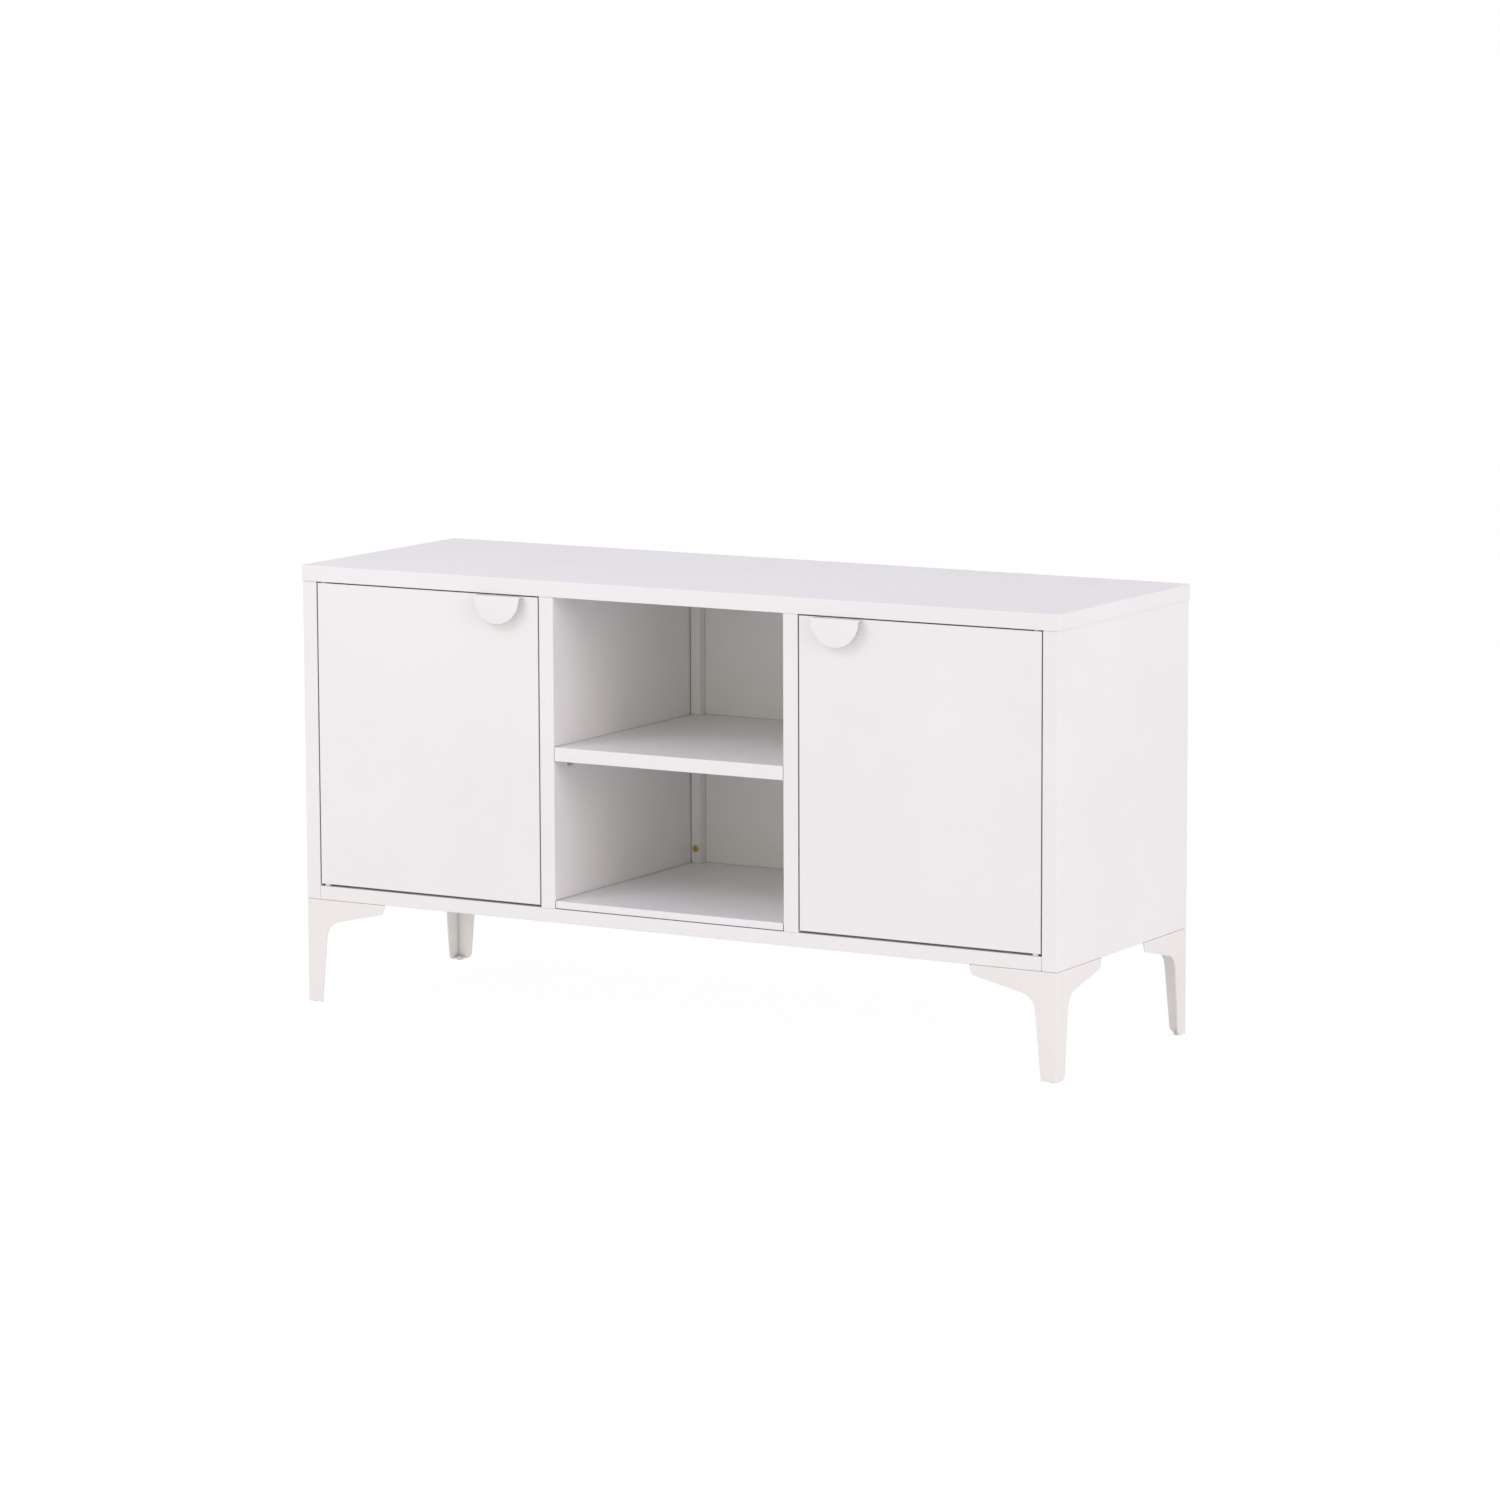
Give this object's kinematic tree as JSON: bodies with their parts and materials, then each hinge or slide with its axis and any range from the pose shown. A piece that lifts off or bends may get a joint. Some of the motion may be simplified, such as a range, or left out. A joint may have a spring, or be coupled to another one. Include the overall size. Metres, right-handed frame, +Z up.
{
  "type": "tv stand with doors",
  "caption": "Long low white sheet-steel stand: an open middle bay with a shelf, a cupboard with a flush door on each side, half-moon pulls and tapered folded legs.",
  "frame": {"origin": "middle of the whole stand's footprint on the floor, handles included; the carcass's own middle is 5.35 mm behind it", "axes": "+X to the right seen from the front along the long side, -Y to the front where the doors are, +Z up"},
  "size_m": [1.2, 0.4032, 0.626],
  "materials": {
    "white_powder_coat": "smooth satin white powder coat on sheet steel",
    "leg_powder_coat": "satin warm white powder coat on folded steel",
    "zinc_plated_steel": "bright zinc plate",
    "yellow_zinc_steel": "yellow zinc plate",
    "dark_grey_plastic": "moulded dark grey plastic",
    "white_nylon": "moulded natural white nylon",
    "white_plastic": "moulded white plastic",
    "magnet": "dark ferrite magnet"
  },
  "bodies": {
    "cabinet": {"back_panel_centre": "white_powder_coat", "back_panel_left": "white_powder_coat", "back_panel_right": "white_powder_coat", "back_screws_centre": "yellow_zinc_steel", "back_screws_cupboards": "zinc_plated_steel", "base_angle_left": "white_powder_coat", "base_angle_right": "white_powder_coat", "base_deck": "white_powder_coat", "base_rail_front": "white_powder_coat", "base_rail_rear": "white_powder_coat", "cable_grommet_lower": "white_plastic", "cable_grommet_upper": "white_plastic", "catch_housing_left": "white_nylon", "catch_housing_right": "white_nylon", "catch_magnets": "magnet", "centre_floor": "white_powder_coat", "centre_shelf": "white_powder_coat", "centre_shelf_clips": "zinc_plated_steel", "clip_screws": "zinc_plated_steel", "cupboard_shelf_clips": "zinc_plated_steel", "cupboard_shelf_left": "white_powder_coat", "cupboard_shelf_right": "white_powder_coat", "divider_left": "white_powder_coat", "divider_right": "white_powder_coat", "divider_screws": "zinc_plated_steel", "glide_front_left": "dark_grey_plastic", "glide_front_right": "dark_grey_plastic", "glide_rear_left": "dark_grey_plastic", "glide_rear_right": "dark_grey_plastic", "glide_screws": "zinc_plated_steel", "hinge_pins_left": "zinc_plated_steel", "hinge_pins_right": "zinc_plated_steel", "leg_bolts": "zinc_plated_steel", "leg_front_left": "leg_powder_coat", "leg_front_right": "leg_powder_coat", "leg_nuts": "zinc_plated_steel", "leg_rear_left": "leg_powder_coat", "leg_rear_right": "leg_powder_coat", "side_panel_left": "white_powder_coat", "side_panel_right": "white_powder_coat", "top_nuts": "zinc_plated_steel", "top_panel": "white_powder_coat", "top_rail_front": "white_powder_coat", "top_rail_rear": "white_powder_coat"},
    "door_assembly_left": {"door_left": "white_powder_coat", "door_stiffener_left": "white_powder_coat", "handle_left": "white_powder_coat", "hinge_bushes_left": "white_nylon"},
    "door_assembly_right": {"door_right": "white_powder_coat", "door_stiffener_right": "white_powder_coat", "handle_right": "white_powder_coat", "hinge_bushes_right": "white_nylon"}
  },
  "joints": [
    {"name": "door_left_hinge", "type": "hinge", "parent": "cabinet", "child": "door_assembly_left", "pos_m": [-0.5649, -0.18465, 0.3869], "axis": [0, 0, -1], "range_deg": [0, 105]},
    {"name": "door_right_hinge", "type": "hinge", "parent": "cabinet", "child": "door_assembly_right", "pos_m": [0.5649, -0.18465, 0.3869], "axis": [0, 0, 1], "range_deg": [0, 105]}
  ]
}
